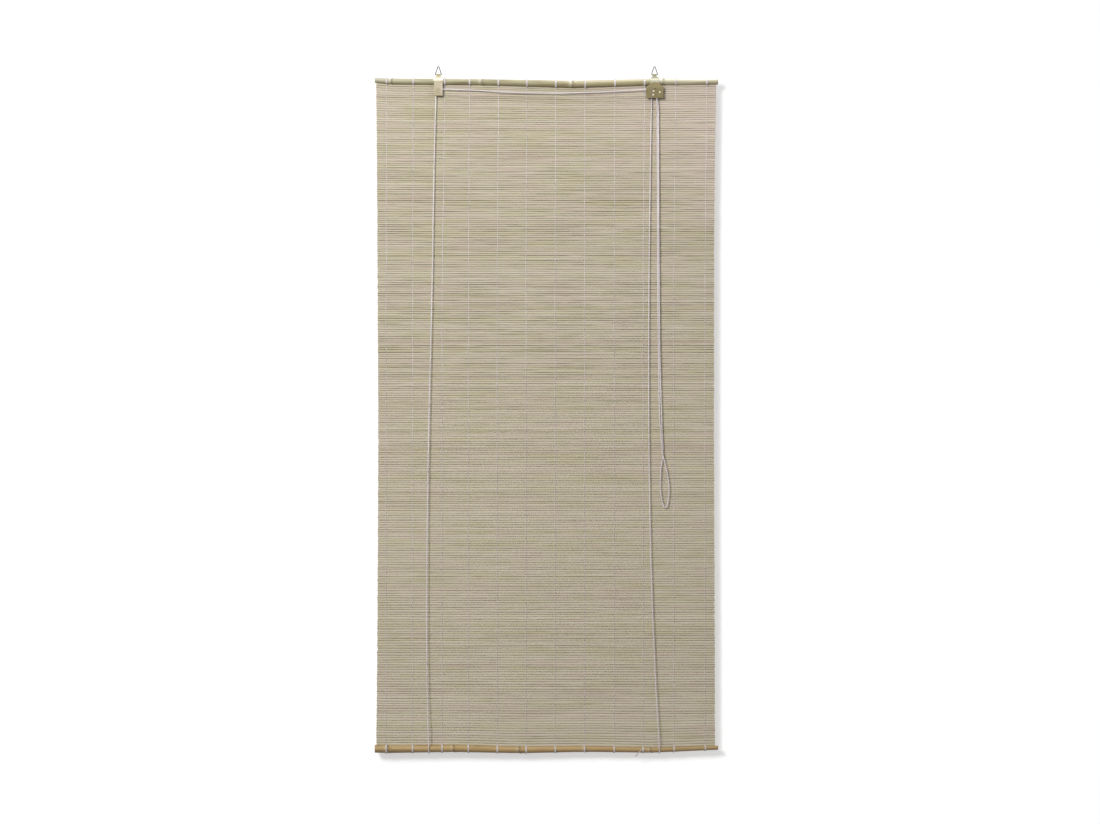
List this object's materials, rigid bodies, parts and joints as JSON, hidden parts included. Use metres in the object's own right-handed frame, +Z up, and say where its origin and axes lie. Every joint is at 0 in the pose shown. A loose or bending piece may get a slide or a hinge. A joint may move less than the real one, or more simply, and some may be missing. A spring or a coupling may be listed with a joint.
{
  "type": "bamboo roll-up blind",
  "caption": "Hanging window blind: a woven mat of split bamboo slats between two bamboo poles, drawn up by a cord over a pulley and a cord lock.",
  "frame": {"origin": "midway between the insides of the two hang rings' tips, on the line the blind hangs from", "axes": "+X along the poles to the viewer's right, +Y towards the wall, +Z up; the front faces -Y"},
  "size_m": [0.8006, 0.0241, 1.6035],
  "materials": {
    "top_cane": "natural bamboo skin, satin, greenish straw",
    "bottom_cane": "natural bamboo skin, satin, tan",
    "slats": "split bamboo, matt, pale straw",
    "threads": "thin cotton thread, off-white",
    "cord": "braided cotton cord, white",
    "wire": "bare steel wire, grey",
    "left_sheet": "plated sheet steel, pale champagne",
    "right_sheet": "plated sheet steel, olive brass tone",
    "rivets": "plated steel, bright",
    "wheels": "turned brass, plain"
  },
  "bodies": {
    "blind": {"top_pole": "top_cane", "bottom_pole": "bottom_cane", "slat_mat": "slats", "warp_thread_01": "threads", "warp_thread_02": "threads", "warp_thread_03": "threads", "warp_thread_04": "threads", "warp_thread_05": "threads", "warp_thread_06": "threads", "warp_thread_07": "threads", "warp_thread_08": "threads", "warp_thread_09": "threads", "warp_thread_10": "threads", "warp_thread_11": "threads", "warp_thread_12": "threads", "left_hanger": "left_sheet", "left_pulley_rivet": "rivets", "right_hanger": "right_sheet", "lock_pulley_rivet": "rivets", "lock_cam_rivet": "rivets", "guide_post": "rivets", "spacer_rivet": "rivets", "left_staple": "wire", "right_staple": "wire", "lift_cord": "cord"},
    "left_ring": {"left_ring": "wire"},
    "right_ring": {"right_ring": "wire"},
    "left_pulley": {"left_pulley": "wheels"},
    "lock_pulley": {"lock_pulley": "wheels"},
    "lock_cam": {"lock_cam": "wheels"}
  },
  "joints": [
    {"name": "left_ring_swing", "type": "hinge", "parent": "blind", "child": "left_ring", "pos_m": [-0.252, 0, -0.018], "axis": [1, 0, 0], "range_deg": [-130, 130]},
    {"name": "right_ring_swing", "type": "hinge", "parent": "blind", "child": "right_ring", "pos_m": [0.252, 0, -0.018], "axis": [1, 0, 0], "range_deg": [-130, 130]},
    {"name": "left_pulley_spin", "type": "hinge", "parent": "blind", "child": "left_pulley", "pos_m": [-0.252, -0.00505, -0.05856], "axis": [0, 1, 0], "continuous": true},
    {"name": "lock_pulley_spin", "type": "hinge", "parent": "blind", "child": "lock_pulley", "pos_m": [0.2493, -0.00541, -0.05744], "axis": [0, 1, 0], "continuous": true},
    {"name": "lock_cam_swing", "type": "hinge", "parent": "blind", "child": "lock_cam", "pos_m": [0.2644, -0.00541, -0.06004], "axis": [0, 1, 0], "range_deg": [-10, 35]}
  ],
  "couplings": [
    {"joint": "lock_pulley_spin", "follows": "left_pulley_spin", "ratio": 1.2444}
  ]
}
